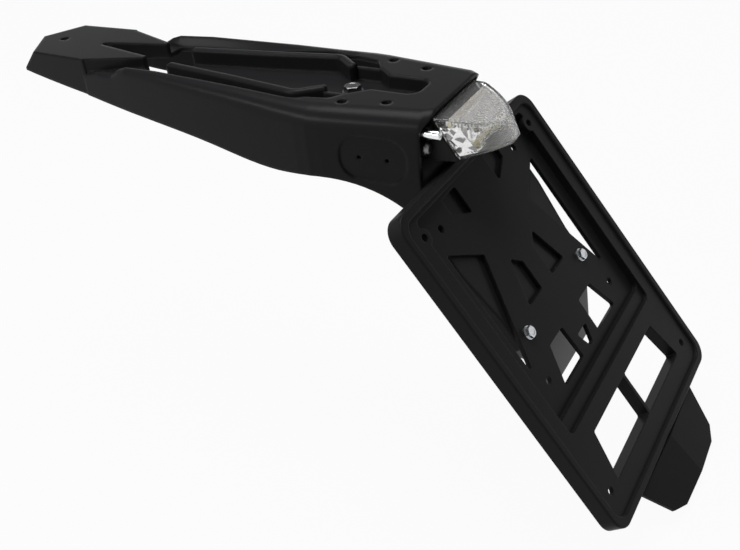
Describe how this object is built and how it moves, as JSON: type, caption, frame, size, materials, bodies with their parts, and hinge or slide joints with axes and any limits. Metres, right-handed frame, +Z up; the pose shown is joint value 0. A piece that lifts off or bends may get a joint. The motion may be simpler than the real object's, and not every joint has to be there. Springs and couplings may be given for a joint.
{
  "type": "tail tidy",
  "caption": "Motorcycle tail tidy: hollow moulded tail with nose pad, slotted deck and tongue, carrying a clear tail light, an open number plate frame and a short mudflap.",
  "frame": {"origin": "midway between the two front deck holes, on the top face of the deck", "axes": "+X to the rider's right, +Y forward to the nose, +Z up"},
  "size_m": [0.1924, 0.5284, 0.2605],
  "materials": {
    "body_plastic": "satin black moulding",
    "frame_plastic": "matt black moulding",
    "flap_plastic": "matt black sheet",
    "housing_plastic": "matt black moulding",
    "seal_rubber": "soft black",
    "board_laminate": "pale laminate",
    "diode_resin": "clear resin over phosphor",
    "bright_plating": "bright plating on plastic",
    "prism_plastic": "prismed clear plastic",
    "clear_plastic": "clear polished plastic",
    "screw_steel": "plated steel",
    "bright_steel": "polished plated steel",
    "zinc_steel": "zinc plated steel"
  },
  "bodies": {
    "root": {"tail_body": "body_plastic", "plate_frame": "frame_plastic", "mudflap": "flap_plastic", "light_housing": "housing_plastic", "housing_seal": "seal_rubber", "cable_grommet": "seal_rubber", "light_board": "board_laminate", "tail_leds": "diode_resin", "plate_leds": "diode_resin", "light_reflector": "bright_plating", "reflex_insert": "prism_plastic", "light_lens": "clear_plastic", "light_screws": "screw_steel", "light_studs": "bright_steel", "plate_bolts": "zinc_steel", "plate_washers": "zinc_steel", "plate_nuts": "zinc_steel", "flap_screws": "screw_steel", "centre_bolt": "zinc_steel", "centre_washer": "zinc_steel"}
  },
  "joints": []
}
